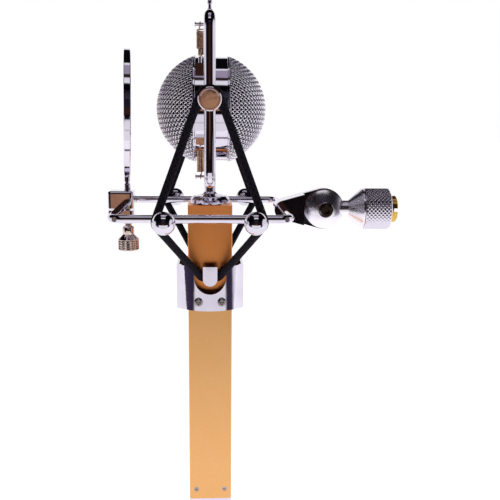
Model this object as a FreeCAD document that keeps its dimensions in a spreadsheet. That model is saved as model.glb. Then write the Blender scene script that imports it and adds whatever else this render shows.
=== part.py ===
import FreeCAD, Part
import math
import os
import re
import Sketcher
from FreeCAD import Rotation, Vector

# Condenser microphone in an elastic shock mount, with its pop filter and stand swivel.
# Origin: centre of the stand thread's mouth.  +X out of the thread, +Z up, along the microphone.
# The microphone's own axis is vertical at x = -mic_offset, and the suspension frame lies at z = 0.

SIZES = [
    ("mic_offset", 109.8, "stand thread mouth to microphone axis"),
    ("body_side", 25.4, "square body, across the flats"),
    ("body_wall", 1.6, "square body, wall"),
    ("body_top", 3.3, "square body, top face above the frame"),
    ("body_drop", 178.5, "square body, lower end below the frame"),
    ("cap_plate", 3.5, "end cap, thickness of its plate"),
    ("cap_spigot", 12.5, "end cap, spigot inside the body"),
    ("xlr_bore", 8.1, "output connector, recess radius"),
    ("xlr_depth", 12.0, "output connector, recess depth above the plate's inner face"),
    ("xlr_pin", 1.2, "output connector, pin radius"),
    ("xlr_circle", 4.15, "output connector, radius of the pin circle"),
    ("dome_radius", 11.5, "dome base on the body"),
    ("dome_height", 5.7, "dome base, height to the foot of its post"),
    ("post_radius", 3.25, "post under the ring"),
    ("ring_half", 44.0, "head ring, arm centres from the middle"),
    ("ring_low", 18.8, "head ring, centre of its lower bar above the frame"),
    ("ring_top", 102.6, "head ring, centre of its upper bar above the frame"),
    ("ring_bend", 5.5, "head ring, corner bend radius"),
    ("ring_tube", 3.0, "head ring, tube radius"),
    ("lead_radius", 0.7, "capsule lead"),
    ("lead_hole", 0.9, "hole for the capsule lead"),
    ("pin_height", 61.2, "yoke pins, above the frame"),
    ("pin_radius", 3.0, "yoke pin, shank under the elastic"),
    ("pin_shank", 8.6, "yoke pin, shank length from the tube's centreline"),
    ("pin_cap", 5.9, "yoke pin, cap radius"),
    ("pin_cap_depth", 4.4, "yoke pin, cap thickness"),
    ("spring_x", 5.1, "springs, offset in front of the ring"),
    ("spring_y_top", 21.0, "upper springs, distance from the middle"),
    ("spring_y_low", 24.5, "lower springs, distance from the middle"),
    ("spring_radius", 2.05, "springs, outer radius"),
    ("spring_bore", 1.45, "springs, inner radius"),
    ("spring_top_from", 87.2, "upper springs, lower end"),
    ("spring_top_to", 99.0, "upper springs, upper end"),
    ("spring_low_from", 22.6, "lower springs, lower end"),
    ("spring_low_to", 37.2, "lower springs, upper end"),
    ("peg_wire", 0.8, "spring pegs on the ring, radius"),
    ("peg_top", 100.6, "spring pegs on the ring's upper bar, above the frame"),
    ("peg_low", 20.6, "spring pegs on the ring's lower bar, above the frame"),
    ("head_x", 0.8, "head, offset behind the ring's plane"),
    ("head_height", 56.7, "head, centre above the frame"),
    ("grille_radius", 31.0, "wire grille, outer radius"),
    ("grille_wall", 1.1, "wire grille, thickness"),
    ("liner_wall", 0.3, "fine mesh liner, thickness"),
    ("band_radius", 29.0, "head band, outer radius"),
    ("band_bore", 27.5, "head band, inner radius"),
    ("band_half", 10.0, "head band, half width with its rims"),
    ("rim_width", 1.2, "head band rim, width"),
    ("rim_radius", 29.7, "head band rim, outer radius"),
    ("capsule_radius", 17.0, "capsule"),
    ("capsule_half", 5.5, "capsule, half thickness"),
    ("diaphragm_radius", 14.0, "capsule diaphragm, radius"),
    ("diaphragm_wall", 0.15, "capsule diaphragm, thickness as drawn"),
    ("rod_radius", 2.25, "suspension frame, rod radius"),
    ("frame_y", 44.0, "suspension frame, rod centres from the middle"),
    ("frame_front", 161.6, "suspension frame, front cross bar behind the origin"),
    ("frame_back", 67.0, "suspension frame, back cross bar behind the origin"),
    ("corner_bend", 6.0, "suspension frame, corner bend radius"),
    ("corner_screw", 1.35, "suspension frame, corner screw head radius"),
    ("ball_radius", 6.0, "elastic peg, ball radius"),
    ("ball_x", 23.15, "elastic pegs, distance from the microphone axis"),
    ("ball_y", 59.1, "elastic pegs, ball centre from the middle"),
    ("peg_radius", 2.4, "elastic peg, shank radius"),
    ("cord_radius", 1.8, "elastic loop, radius as drawn"),
    ("cord_y", 50.2, "elastic loop, plane of its upper half"),
    ("cord_pin", 5.2, "elastic loop, centreline radius round the yoke pin"),
    ("cord_peg", 4.7, "elastic loop, centreline radius round a peg"),
    ("cord_low_x", 5.0, "elastic loop, lower corner from the middle"),
    ("cord_low_y", 14.95, "elastic loop, lower run behind the tongue"),
    ("cord_low_z", 38.3, "elastic loop, lower run below the frame"),
    ("cord_low_bend", 2.6, "elastic loop, bend radius at the lower corners"),
    ("collar_half", 19.4, "clamp collar, half width"),
    ("collar_depth", 19.0, "clamp collar, half depth at the middle"),
    ("collar_arc", 25.5, "clamp collar, radius of its front and back faces"),
    ("collar_wall", 1.5, "clamp collar, wall"),
    ("collar_top", 31.2, "clamp collar, top below the frame"),
    ("collar_tall", 26.0, "clamp collar, height"),
    ("collar_strip", 1.7, "clamp collar, strip above the slot"),
    ("slot_half", 9.1, "clamp collar slot, half width"),
    ("slot_centre", 38.2, "clamp collar slot, centre of its round end"),
    ("tongue_half", 4.1, "clamp collar tongue, half width"),
    ("tongue_end", 38.4, "clamp collar tongue, centre of its round end"),
    ("screw_x", 6.7, "collar screws, distance from the middle"),
    ("screw_drop", 51.8, "collar screws, below the frame"),
    ("screw_head", 2.5, "collar screws, head radius"),
    ("screw_shank", 1.3, "collar screws, shank radius"),
    ("screw_seat", 18.1, "collar screws, seat of the head from the middle"),
    ("end_screw_x", 8.5, "end screws, distance from the middle"),
    ("end_screw_drop", 172.0, "end screws, below the frame"),
    ("end_screw_head", 1.5, "end screws, head radius"),
    ("hinge_back", 42.8, "swivel hinge, behind the origin"),
    ("arm_eye", 12.0, "swivel arm, eye radius"),
    ("arm_root", 5.5, "swivel arm, root radius"),
    ("arm_half", 7.0, "swivel arm, half thickness"),
    ("eye_gap", 0.05, "swivel, gap between each eye and the middle"),
    ("stud_eye", 11.3, "swivel stud, eye radius"),
    ("stud_relief", 12.3, "swivel stud, radius cleared for the arm's eye"),
    ("stud_crown", 20.0, "swivel stud, radius of its eye's domed face"),
    ("neck_radius", 5.0, "swivel stud, neck radius"),
    ("cone_from", 28.7, "swivel stud, small end of the cone"),
    ("cone_radius", 11.9, "swivel stud, large end of the cone"),
    ("bolt_radius", 3.0, "swivel bolt, shank radius"),
    ("run_gap", 0.05, "running clearance, radial"),
    ("nut_back", 20.0, "knurled stand nut, inner end"),
    ("nut_front", 4.1, "knurled stand nut, outer end"),
    ("nut_radius", 12.15, "knurled stand nut, radius"),
    ("nut_web", 3.4, "knurled stand nut, web"),
    ("insert_radius", 7.94, "thread insert, outside radius of its 5/8 inch thread"),
    ("insert_bore", 4.0, "thread insert, core radius of its 3/8 inch thread"),
    ("insert_length", 12.5, "thread insert, length"),
    ("stem_x", 157.6, "pop filter stem and thumbscrew, behind the origin"),
    ("clamp_front", 168.4, "pop filter clamp, front face behind the origin"),
    ("clamp_length", 14.8, "pop filter clamp, length"),
    ("clamp_half", 7.0, "pop filter clamp, half width"),
    ("clamp_top", 10.5, "pop filter clamp, top face"),
    ("clamp_split", 0.6, "pop filter clamp, half of the split between its jaws"),
    ("jaw_bottom", 4.4, "pop filter clamp, lower jaw's lower face"),
    ("stem_radius", 1.9, "pop filter stem"),
    ("stem_foot", 5.0, "pop filter stem, lower end"),
    ("hoop_height", 54.0, "pop filter hoop, centre above the frame"),
    ("hoop_radius", 35.8, "pop filter hoop, outer radius"),
    ("hoop_wall", 1.7, "pop filter hoop, wall"),
    ("hoop_half", 1.9, "pop filter hoop, half width"),
    ("hoop_yaw", 6.9, "pop filter hoop, turn about its stem in degrees"),
    ("hoop_lean", 1.3, "pop filter hoop, lean towards the microphone in degrees"),
    ("screen_wall", 0.4, "pop filter screen, thickness"),
    ("screen_gap", 0.7, "pop filter screens, distance of each from the middle"),
    ("thumb_radius", 6.15, "thumbscrew, knurled radius"),
    ("thumb_bottom", 24.6, "thumbscrew, lower end below the frame"),
    ("thumb_neck", 3.45, "thumbscrew, neck radius"),
    ("thumb_shank", 2.1, "thumbscrew, plain shank radius"),
    ("thumb_thread", 1.5, "thumbscrew, thread radius"),
    ("board_width", 20.0, "circuit board, width"),
    ("board_wall", 1.6, "circuit board, thickness"),
    ("board_top", 40.0, "circuit board, upper end below the frame"),
    ("board_tall", 112.0, "circuit board, length"),
]

ALIASES = {alias for alias, size, meaning in SIZES}
UPRIGHT = Rotation()
ALONG_X = Rotation(Vector(0, 1, 0), 90)        # a piece's own Z points along +X
ALONG_BACK_X = Rotation(Vector(0, 1, 0), -90)  # a piece's own Z points along -X
TO_NEAR = Rotation(Vector(1, 0, 0), 90)        # a piece's own Z points along -Y
TO_FAR = Rotation(Vector(1, 0, 0), -90)        # a piece's own Z points along +Y
SIDES = [("near", "-", TO_NEAR), ("far", "", TO_FAR)]

doc = FreeCAD.newDocument("condenser_microphone")
sheet = doc.addObject("Spreadsheet::Sheet", "sizes")
for row, (alias, size, meaning) in enumerate(SIZES, start=1):
    sheet.set("A%d" % row, meaning)
    sheet.set("B%d" % row, str(size))
    sheet.setAlias("B%d" % row, alias)
doc.recompute()

nodes = []


def bound(text):
    """Expression text in which every size name points at the sheet."""
    def pointed(word):
        return "sizes." + word.group() if word.group() in ALIASES else word.group()
    return re.sub(r"[a-z_]+", pointed, text)


def number(text):
    """The value that an expression of sizes has now."""
    return float(sheet.evalExpression(bound(text)))


def place(piece, x="0", y="0", z="0", turn=UPRIGHT):
    """Put a piece at a point given by expressions, turned as stated."""
    piece.Placement = FreeCAD.Placement(Vector(), turn)
    for axis, text in (("x", x), ("y", y), ("z", z)):
        piece.setExpression("Placement.Base." + axis, bound(text))
    return piece


def primitive(kind, name, sizes, where):
    piece = doc.addObject(kind, name)
    for size, text in sizes.items():
        piece.setExpression(size, bound(text))
    return place(piece, **where)


def rod(name, radius, length, **where):
    return primitive("Part::Cylinder", name, {"Radius": radius, "Height": length}, where)


def block(name, length, width, height, **where):
    """A box centred on its own X and Y, standing on its placement point."""
    piece = primitive("Part::Box", name, {"Length": length, "Width": width, "Height": height}, {})
    middle = {"x": "(%s) - (%s)/2" % (where.get("x", "0"), length),
              "y": "(%s) - (%s)/2" % (where.get("y", "0"), width),
              "z": where.get("z", "0")}
    return place(piece, **middle)


def ball(name, radius, **where):
    return primitive("Part::Sphere", name, {"Radius": radius}, where)


def cut(name, base, tool):
    piece = doc.addObject("Part::Cut", name)
    piece.Base = base
    piece.Tool = tool
    return piece


def join(name, shapes):
    piece = doc.addObject("Part::MultiFuse", name)
    piece.Shapes = shapes
    return piece


def shared(name, shapes):
    piece = doc.addObject("Part::MultiCommon", name)
    piece.Shapes = shapes
    return piece


def group(name, shapes):
    """Separate solids that share one node."""
    piece = doc.addObject("Part::Compound", name)
    piece.Links = shapes
    return piece


def node(piece):
    nodes.append(piece)
    return piece


def origin_plane(body, role):
    return [feature for feature in body.Origin.OriginFeatures if feature.Role == role][0]


def outline(sketch, corners):
    """Closed straight-sided outline whose corners are pairs of size expressions."""
    points = [Vector(number(x), number(y), 0) for x, y in corners]
    for start, end in zip(points, points[1:] + points[:1]):
        sketch.addGeometry(Part.LineSegment(start, end), False)
    for side in range(len(corners)):
        after = (side + 1) % len(corners)
        sketch.addConstraint(Sketcher.Constraint("Coincident", side, 2, after, 1))
    for side, corner in enumerate(corners):
        for kind, reference, text in zip(("DistanceX", "DistanceY"), (-2, -1), corner):
            size = number(text)
            if abs(size) < 1e-9:
                sketch.addConstraint(Sketcher.Constraint("PointOnObject", side, 1, reference))
                continue
            ends = (-1, 1, side, 1) if size > 0 else (side, 1, -1, 1)
            index = sketch.addConstraint(Sketcher.Constraint(kind, *ends, abs(size)))
            signed = text if size > 0 else "-(%s)" % text
            sketch.setExpression("Constraints[%d]" % index, bound(signed))


def sketched_body(label, plane, corners):
    body = doc.addObject("PartDesign::Body", label)
    sketch = body.newObject("Sketcher::SketchObject", label + "_outline")
    sketch.AttachmentSupport = (origin_plane(body, plane), [""])
    sketch.MapMode = "FlatFace"
    outline(sketch, corners)
    return body, sketch


def turned(label, profile, **where):
    """A piece turned about its own Z from (radius, height) expressions."""
    body, sketch = sketched_body(label, "XZ_Plane", profile)
    turn = body.newObject("PartDesign::Revolution", label + "_turn")
    turn.Profile = sketch
    turn.ReferenceAxis = (sketch, ["V_Axis"])
    turn.Angle = 360
    return place(body, **where)


def plate(label, corners, thickness, plane="XY_Plane", **where):
    """A flat piece padded from its outline."""
    body, sketch = sketched_body(label, plane, corners)
    pad = body.newObject("PartDesign::Pad", label + "_pad")
    pad.Profile = sketch
    pad.setExpression("Length", bound(thickness))
    return place(body, **where)


def square_corners(width, depth):
    half_x = "(%s)/2" % width
    half_y = "(%s)/2" % depth
    return [("-" + half_x, "-" + half_y), (half_x, "-" + half_y), (half_x, half_y), ("-" + half_x, half_y)]


def rounded(body, radius, chosen, kind="PartDesign::Fillet", size_name="Radius"):
    """Round or chamfer the edges of a body's last feature that the test picks."""
    doc.recompute()
    tip = body.Tip
    names = ["Edge%d" % count for count, edge in enumerate(tip.Shape.Edges, 1) if chosen(edge)]
    dress = body.newObject(kind, body.Label + "_edges")
    dress.Base = (tip, names)
    dress.setExpression(size_name, bound(radius))
    body.Tip = dress
    return body


def circle_at(radius, height):
    """Test for the circular edges of one radius at one height on a turned piece."""
    wanted = (number(radius), number(height))

    def chosen(edge):
        if not isinstance(edge.Curve, Part.Circle):
            return False
        return (abs(edge.Curve.Radius - wanted[0]) < 0.01 and
                abs(edge.Curve.Center.z - wanted[1]) < 0.01)
    return chosen


def upright_edge(edge):
    start, end = edge.Vertexes[0].Point, edge.Vertexes[-1].Point
    return abs(start.x - end.x) + abs(start.y - end.y) < 1e-6 and abs(start.z - end.z) > 1


def tube_along(corners, bends, radius, closed):
    """Round cord along straight runs joined by arcs tangent to them, one bend radius a corner."""
    count = len(corners)
    turning = range(count) if closed else range(1, count - 1)
    entries = {}
    for index in turning:
        corner = corners[index]
        before = (corners[index - 1] - corner).normalize()
        after = (corners[(index + 1) % count] - corner).normalize()
        half = before.getAngle(after) / 2
        reach = bends[index] / math.tan(half)
        middle = (before + after).normalize()
        crown = corner + middle * (bends[index] / math.sin(half) - bends[index])
        entries[index] = (corner + before * reach, crown, corner + after * reach)
    edges = []
    for index in range(count if closed else count - 1):
        following = (index + 1) % count
        start = entries[index][2] if index in entries else corners[index]
        end = entries[following][0] if following in entries else corners[following]
        edges.append(Part.LineSegment(start, end).toShape())
        if following in entries:
            edges.append(Part.Arc(*entries[following]).toShape())
    spine = Part.Wire(Part.__sortEdges__(edges))
    first = edges[0]
    section = Part.Circle(first.Vertexes[0].Point, first.tangentAt(first.FirstParameter), radius)
    tube = spine.makePipeShell([Part.Wire(section.toShape())], True, True)
    print("cord of radius", radius, "length", round(spine.Length, 2),
          "volume ratio", round(tube.Volume / (math.pi * radius ** 2 * spine.Length), 4))
    return tube


def bent_rod(label, corners, bends, radius, closed):
    """A tube along corners that are given from the microphone's axis."""
    piece = doc.addObject("Part::Feature", label)
    piece.Shape = tube_along(corners, bends, radius, closed)
    piece.Placement = FreeCAD.Placement(Vector(-number("mic_offset"), 0, 0), UPRIGHT)
    return piece


AXIS_X = "-mic_offset"
HEAD_X = "-mic_offset + head_x"


# ---- head ring, its post on the dome base, and what is fastened to the ring ----

def ring_corners():
    half, bottom, top = number("ring_half"), number("ring_low"), number("ring_top")
    return [Vector(0, -half, bottom), Vector(0, half, bottom), Vector(0, half, top), Vector(0, -half, top)]


ring_solid = bent_rod("ring_solid", ring_corners(), [number("ring_bend")] * 4, number("ring_tube"), True)
lead_way = rod("lead_way", "lead_hole", "pin_height", x=AXIS_X, z="0")


def make_head_ring():
    node(cut("head_ring", ring_solid, lead_way))


def make_dome_base():
    """Turned dome whose post is shaped to the ring it carries, drilled for the capsule lead."""
    dome = turned("dome_base_blank",
                  [("0", "0"), ("dome_radius", "0"), ("dome_radius", "dome_height*0.45"),
                   ("dome_radius*0.88", "dome_height*0.75"), ("post_radius*1.3", "dome_height"),
                   ("post_radius", "dome_height*1.17"), ("post_radius", "ring_low-body_top"),
                   ("0", "ring_low-body_top")],
                  x=AXIS_X, z="body_top")
    rounded(dome, "1.6", circle_at("dome_radius*0.88", "dome_height*0.75"))
    rounded(dome, "1.8", circle_at("post_radius*1.3", "dome_height"))
    node(cut("dome_base", dome, join("dome_base_ways", [ring_solid, lead_way])))


def make_ring_finial():
    """Rounded post on top of the ring with a small ball on a neck."""
    finial = turned("ring_finial_blank",
                    [("0", "0"), ("ring_tube*0.9", "0"), ("ring_tube*0.9", "8.0"), ("ring_tube*0.45", "9.7"),
                     ("1.0", "9.9"), ("1.0", "12.1"), ("1.45", "12.7"), ("1.45", "13.9"), ("0.9", "14.6"),
                     ("0", "14.6")],
                    x=AXIS_X, z="ring_top - 0.9")
    rounded(finial, "1.0", circle_at("ring_tube*0.9", "8.0"))
    node(cut("ring_finial", finial, ring_solid))


def make_yoke_pins():
    """Pins that carry the elastic loops, each with a dished cap; their feet fit the ring's tube."""
    for side, sign, turn in SIDES:
        pin = turned("yoke_pin_blank_" + side,
                     [("0", "0"), ("pin_radius", "0"), ("pin_radius", "pin_shank"),
                      ("pin_cap-0.5", "pin_shank"), ("pin_cap", "pin_shank+0.5"),
                      ("pin_cap", "pin_shank+pin_cap_depth-0.4"), ("pin_cap-0.4", "pin_shank+pin_cap_depth"),
                      ("pin_cap-1.1", "pin_shank+pin_cap_depth"), ("pin_cap-1.3", "pin_shank+pin_cap_depth-0.6"),
                      ("0", "pin_shank+pin_cap_depth-0.6")],
                     x=AXIS_X, y=sign + "ring_half", z="pin_height", turn=turn)
        node(cut("yoke_pin_" + side, pin, ring_solid))


def make_spring_pegs():
    """Four short pegs in the front of the ring that the springs' outer loops hang on."""
    pegs = []
    for across, height in (("spring_y_top", "peg_top"), ("spring_y_low", "peg_low")):
        for side, sign, turn in SIDES:
            shank = rod("spring_peg_shank", "peg_wire", "spring_x + spring_radius + 0.2",
                        x=AXIS_X, y=sign + across, z=height, turn=ALONG_BACK_X)
            head = rod("spring_peg_head", "peg_wire*1.5", "0.6",
                       x="-mic_offset - spring_x - spring_radius - 0.2", y=sign + across, z=height,
                       turn=ALONG_BACK_X)
            whole = join("spring_peg_whole", [shank, head])
            pegs.append(cut("spring_peg", whole, ring_solid))
    node(group("spring_pegs", pegs))


def make_springs():
    """Four coil springs, drawn as the sleeve that each coil fills."""
    levels = [("upper", "spring_y_top", "spring_top_from", "spring_top_to"),
              ("lower", "spring_y_low", "spring_low_from", "spring_low_to")]
    for level, across, start, end in levels:
        for side, sign, turn in SIDES:
            where = {"x": "-mic_offset - spring_x", "y": sign + across, "z": start}
            sleeve = rod("spring_sleeve", "spring_radius", "%s - %s" % (end, start), **where)
            bore = rod("spring_hollow", "spring_bore", "%s - %s" % (end, start), **where)
            node(cut("spring_%s_%s" % (level, side), sleeve, bore))


# ---- square body, end cap, connector and electronics ----

body_screw_ways = join("body_screw_ways",
                       [rod("collar_screw_way", "screw_shank", "collar_depth*2.4",
                            x="-mic_offset %s screw_x" % sign, y="collar_depth*1.2", z="-screw_drop",
                            turn=TO_NEAR) for sign in "+-"])
end_screw_ways = join("end_screw_ways",
                      [rod("end_screw_way", radius, length, x="-mic_offset %s end_screw_x" % sign,
                           y=start, z="-end_screw_drop", turn=turn)
                       for sign in "+-"
                       for radius, length, start, turn in (
                           ("0.9", "body_side*1.4", "body_side*0.7", TO_NEAR),
                           ("end_screw_head", "1.2", "-body_side/2 + 1.0", TO_NEAR),
                           ("end_screw_head", "1.2", "body_side/2 - 1.0", TO_FAR))])


def make_body_tube():
    """Square tube, closed at the top, drilled for the lead, the collar and the end cap."""
    shell = plate("body_tube_blank", square_corners("body_side", "body_side"), "body_drop + body_top",
                  x=AXIS_X, z="-body_drop")
    rounded(shell, "0.8", upright_edge)
    hollow = block("body_hollow", "body_side - 2*body_wall", "body_side - 2*body_wall",
                   "body_drop + body_top - 2", x=AXIS_X, z="-body_drop")
    top_way = rod("body_lead_way", "lead_hole", "6", x=AXIS_X, z="body_top - 3")
    node(cut("body_tube", shell, join("body_ways", [hollow, top_way, body_screw_ways, end_screw_ways])))


def make_end_cap():
    """Plate across the lower end with a square spigot inside the body and a round recess."""
    cap = plate("end_cap_blank", square_corners("body_side", "body_side"), "cap_plate",
                x=AXIS_X, z="-body_drop - cap_plate")
    rounded(cap, "0.8", upright_edge)
    rounded(cap, "0.4", lambda edge: edge.BoundBox.ZMax < 0.01, "PartDesign::Chamfer", "Size")
    spigot = block("end_cap_spigot", "body_side - 2*body_wall", "body_side - 2*body_wall", "cap_spigot",
                   x=AXIS_X, z="-body_drop")
    recess = rod("end_cap_recess", "xlr_bore", "cap_plate + cap_spigot + 1",
                 x=AXIS_X, z="-body_drop - cap_plate - 0.5")
    whole = join("end_cap_whole", [cap, spigot])
    node(cut("end_cap", whole, join("end_cap_ways", [recess, end_screw_ways])))


def make_connector():
    """Insulator at the top of the recess and the three pins that stand in it."""
    pin_places = [(math.cos(math.radians(angle)), math.sin(math.radians(angle))) for angle in (90, 210, 330)]
    disc = rod("connector_disc", "xlr_bore", "cap_spigot - xlr_depth + 4",
               x=AXIS_X, z="-body_drop + xlr_depth - 4")
    pins = []
    ways = []
    for along_x, along_y in pin_places:
        where = {"x": "-mic_offset + xlr_circle*%.4f" % along_x, "y": "xlr_circle*%.4f" % along_y}
        pins.append(rod("connector_pin", "xlr_pin", "13.5", z="-body_drop + 1.5", **where))
        ways.append(rod("connector_way", "xlr_pin", "9", z="-body_drop + xlr_depth - 6", **where))
    node(cut("connector_insulator", disc, join("connector_ways", ways)))
    node(group("connector_pins", pins))


def make_end_screws():
    screws = []
    for sign in "+-":
        for side, way, turn in SIDES:
            screws.append(turned("end_screw",
                                 [("0", "0"), ("0.9", "0"), ("0.9", "2.7"), ("end_screw_head", "2.7"),
                                  ("end_screw_head", "3.5"), ("end_screw_head*0.5", "3.5"),
                                  ("end_screw_head*0.4", "3.1"), ("0", "3.1")],
                                 x="-mic_offset %s end_screw_x" % sign, y=way + "(body_side/2 - 3.7)",
                                 z="-end_screw_drop", turn=turn))
    node(group("end_screws", screws))


def make_electronics():
    """Board on edge in the body, held by two frames, with its transformer and capacitors."""
    board = plate("circuit_board", square_corners("board_width", "board_wall"), "board_tall",
                  x=AXIS_X, z="-board_top - board_tall")
    node(board)
    board_way = block("board_way", "board_width", "board_wall", "board_tall",
                      x=AXIS_X, z="-board_top - board_tall")
    inner = "body_side - 2*body_wall"
    frames = []
    for height in ("-board_top - 8", "-board_top - board_tall + 4"):
        outer = block("board_frame_outer", inner, inner, "3", x=AXIS_X, z=height)
        window = block("board_frame_window", "board_width - 4", "body_side - 9", "5", x=AXIS_X,
                       z=height + " - 1")
        rail = block("board_frame_rail", inner, "5", "3", x=AXIS_X, z=height)
        open_frame = cut("board_frame_open", outer, window)
        frames.append(cut("board_frame", join("board_frame_whole", [open_frame, rail]), board_way))
    node(group("board_frames", frames))
    node(block("output_transformer", "18", "9.4", "24", x=AXIS_X, y="board_wall/2 + 4.7",
               z="-board_top - board_tall + 14"))
    cans = []
    for height, radius in (("-board_top - 20", "4.2"), ("-board_top - 34", "5.0"), ("-board_top - 50", "3.6")):
        cans.append(rod("capacitor", radius, "9.0", x=AXIS_X, y="-board_wall/2", z=height, turn=TO_NEAR))
    node(group("capacitors", cans))


# ---- clamp collar round the body ----

def collar_plan(name, arc, half):
    """Barrel-shaped plan: flat sides with shallow curved front and back faces."""
    centre = "(collar_arc - collar_depth)"
    shapes = [block(name + "_flats", "2*(%s)" % half, "3*collar_depth", "collar_tall",
                    x=AXIS_X, z="-collar_top - collar_tall")]
    for sign in "+-":
        shapes.append(rod(name + "_face", arc, "collar_tall", x=AXIS_X, y=sign + centre,
                          z="-collar_top - collar_tall"))
    return shared(name, shapes)


def make_clamp_collar():
    """Sleeve with a U-shaped slot front and back, and a tongue that hooks each elastic loop."""
    outer = collar_plan("collar_outer", "collar_arc", "collar_half")
    inner = collar_plan("collar_inner", "collar_arc - collar_wall", "collar_half - collar_wall")
    slot = join("collar_slot_u",
                [block("collar_slot_top", "2*slot_half", "3*collar_depth",
                       "slot_centre - collar_top - collar_strip", x=AXIS_X, z="-slot_centre"),
                 rod("collar_slot_end", "slot_half", "3*collar_depth", x=AXIS_X, y="1.5*collar_depth",
                     z="-slot_centre", turn=TO_NEAR)])
    tongue = join("collar_tongue",
                  [block("collar_tongue_top", "2*tongue_half", "4*collar_depth", "tongue_end - collar_top",
                         x=AXIS_X, z="-tongue_end"),
                   rod("collar_tongue_end", "tongue_half", "4*collar_depth", x=AXIS_X,
                       y="2*collar_depth", z="-tongue_end", turn=TO_NEAR)])
    window = cut("collar_window", slot, tongue)
    seats = [rod("collar_seat", "screw_head + 0.1", "5", x="-mic_offset %s screw_x" % sign,
                 y=way + "screw_seat", z="-screw_drop", turn=turn)
             for sign in "+-" for side, way, turn in SIDES]
    ways = join("collar_ways", [inner, window, body_screw_ways] + seats)
    node(cut("clamp_collar", outer, ways))
    spacers = []
    for side, way, turn in SIDES:
        pad = block("collar_spacer_blank", "20", "6", "6.6", x=AXIS_X, y=way + "(body_side/2 + 3)",
                    z="-screw_drop - 3.3")
        spacers.append(cut("collar_spacer", shared("collar_spacer_fit", [pad, inner]), body_screw_ways))
    node(group("collar_spacers", spacers))


def make_collar_screws():
    """Pan-head screws with a cross recess, two in front and two behind."""
    screws = []
    shank = "(screw_seat - body_side/2 + body_wall)"
    for sign in "+-":
        for side, way, turn in SIDES:
            blank = turned("collar_screw_blank",
                           [("0", "0"), ("screw_shank", "0"), ("screw_shank", shank), ("screw_head", shank),
                            ("screw_head", shank + " + 0.7"), ("screw_head*0.6", shank + " + 1.5"),
                            ("0", shank + " + 1.5")],
                           x="-mic_offset %s screw_x" % sign, y=way + "(body_side/2 - body_wall)",
                           z="-screw_drop", turn=turn)
            level = way + "(screw_seat + 1.2)"
            slots = [block("collar_screw_recess", width, "1.4", height, x="-mic_offset %s screw_x" % sign,
                           y=level, z="-screw_drop - (%s)/2" % height)
                     for width, height in (("screw_head*1.1", "0.7"), ("0.7", "screw_head*1.1"))]
            screws.append(cut("collar_screw", blank, join("collar_screw_cross", slots)))
    node(group("collar_screws", screws))


# ---- elastic loops and the capsule's lead ----

def make_elastic_loops():
    """Each loop goes over its yoke pin, outside two ball pegs and behind the collar's tongue."""
    pin_bend, peg_bend, low_bend = number("cord_pin"), number("cord_peg"), number("cord_low_bend")
    across, height = number("ball_x"), number("pin_height")
    lean = math.atan2(across, height) - math.asin((pin_bend - peg_bend) / math.hypot(across, height))
    apex = height + pin_bend / math.sin(lean)
    peg_z = -1.7
    peg_x = (apex - peg_z) * math.tan(lean)
    low = Vector(number("cord_low_x"), number("cord_low_y"), -number("cord_low_z"))
    for side, sign in (("near", -1), ("far", 1)):
        level = sign * number("cord_y")
        corners = [Vector(0, level, apex), Vector(peg_x, level, peg_z),
                   Vector(low.x, sign * low.y, low.z), Vector(-low.x, sign * low.y, low.z),
                   Vector(-peg_x, level, peg_z)]
        bends = [pin_bend, peg_bend, low_bend, low_bend, peg_bend]
        node(bent_rod("elastic_loop_" + side, corners, bends, number("cord_radius"), True))


def make_capsule_lead():
    """Thin lead from the board up through the post, bowed where it crosses to the head."""
    gap_from = number("ring_low + ring_tube")
    gap_to = number("head_height - band_radius")
    middle = (gap_from + gap_to) / 2
    corners = [Vector(0, 0, -number("board_top")), Vector(0, 0, gap_from + 0.2), Vector(0, 1.5, middle),
               Vector(0, 0, gap_to - 0.2), Vector(0, 0, gap_to + 4)]
    node(bent_rod("capsule_lead", corners, [0, 2.8, 2.4, 2.8, 0], number("lead_radius"), False))


# ---- head: band, rims, grilles, capsule ----

def head_turned(label, profile, from_middle):
    """A piece turned about the head's own axis, which lies along X."""
    return turned(label, profile, x="%s + (%s)" % (HEAD_X, from_middle), z="head_height", turn=ALONG_X)


def tube_profile(bore, radius, length):
    return [(bore, "0"), (radius, "0"), (radius, length), (bore, length)]


def make_head_shell():
    band_length = "2*(band_half - rim_width)"
    band = head_turned("head_band_blank", tube_profile("band_bore", "band_radius", band_length),
                       "rim_width - band_half")
    gland = rod("band_lead_way", "lead_hole", "8", x=AXIS_X, z="head_height - band_radius - 3")
    node(cut("head_band", band, gland))
    for side, start in (("front", "-band_half"), ("back", "band_half - rim_width")):
        rim = head_turned("band_rim_" + side, tube_profile("band_bore", "rim_radius", "rim_width"), start)
        rounded(rim, "0.35", lambda edge: isinstance(edge.Curve, Part.Circle) and
                edge.Curve.Radius > number("band_radius"))
        node(rim)


def make_grilles():
    """Domed wire grilles front and back, each with a fine mesh liner close inside it."""
    layers = [("grille", "grille_radius", "grille_radius - grille_wall"),
              ("liner", "grille_radius - grille_wall - 0.2", "grille_radius - grille_wall - 0.2 - liner_wall")]
    for side, sign in (("front", "-"), ("back", "+")):
        half = block("grille_half", "grille_radius", "3*grille_radius", "3*grille_radius",
                     x="%s %s (band_half + grille_radius/2)" % (HEAD_X, sign),
                     z="head_height - 1.5*grille_radius")
        for layer, outside, inside in layers:
            shell = cut(layer + "_shell", ball(layer + "_outside", outside, x=HEAD_X, z="head_height"),
                        ball(layer + "_inside", inside, x=HEAD_X, z="head_height"))
            node(shared("%s_%s" % (layer, side), [shell, half]))


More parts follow.
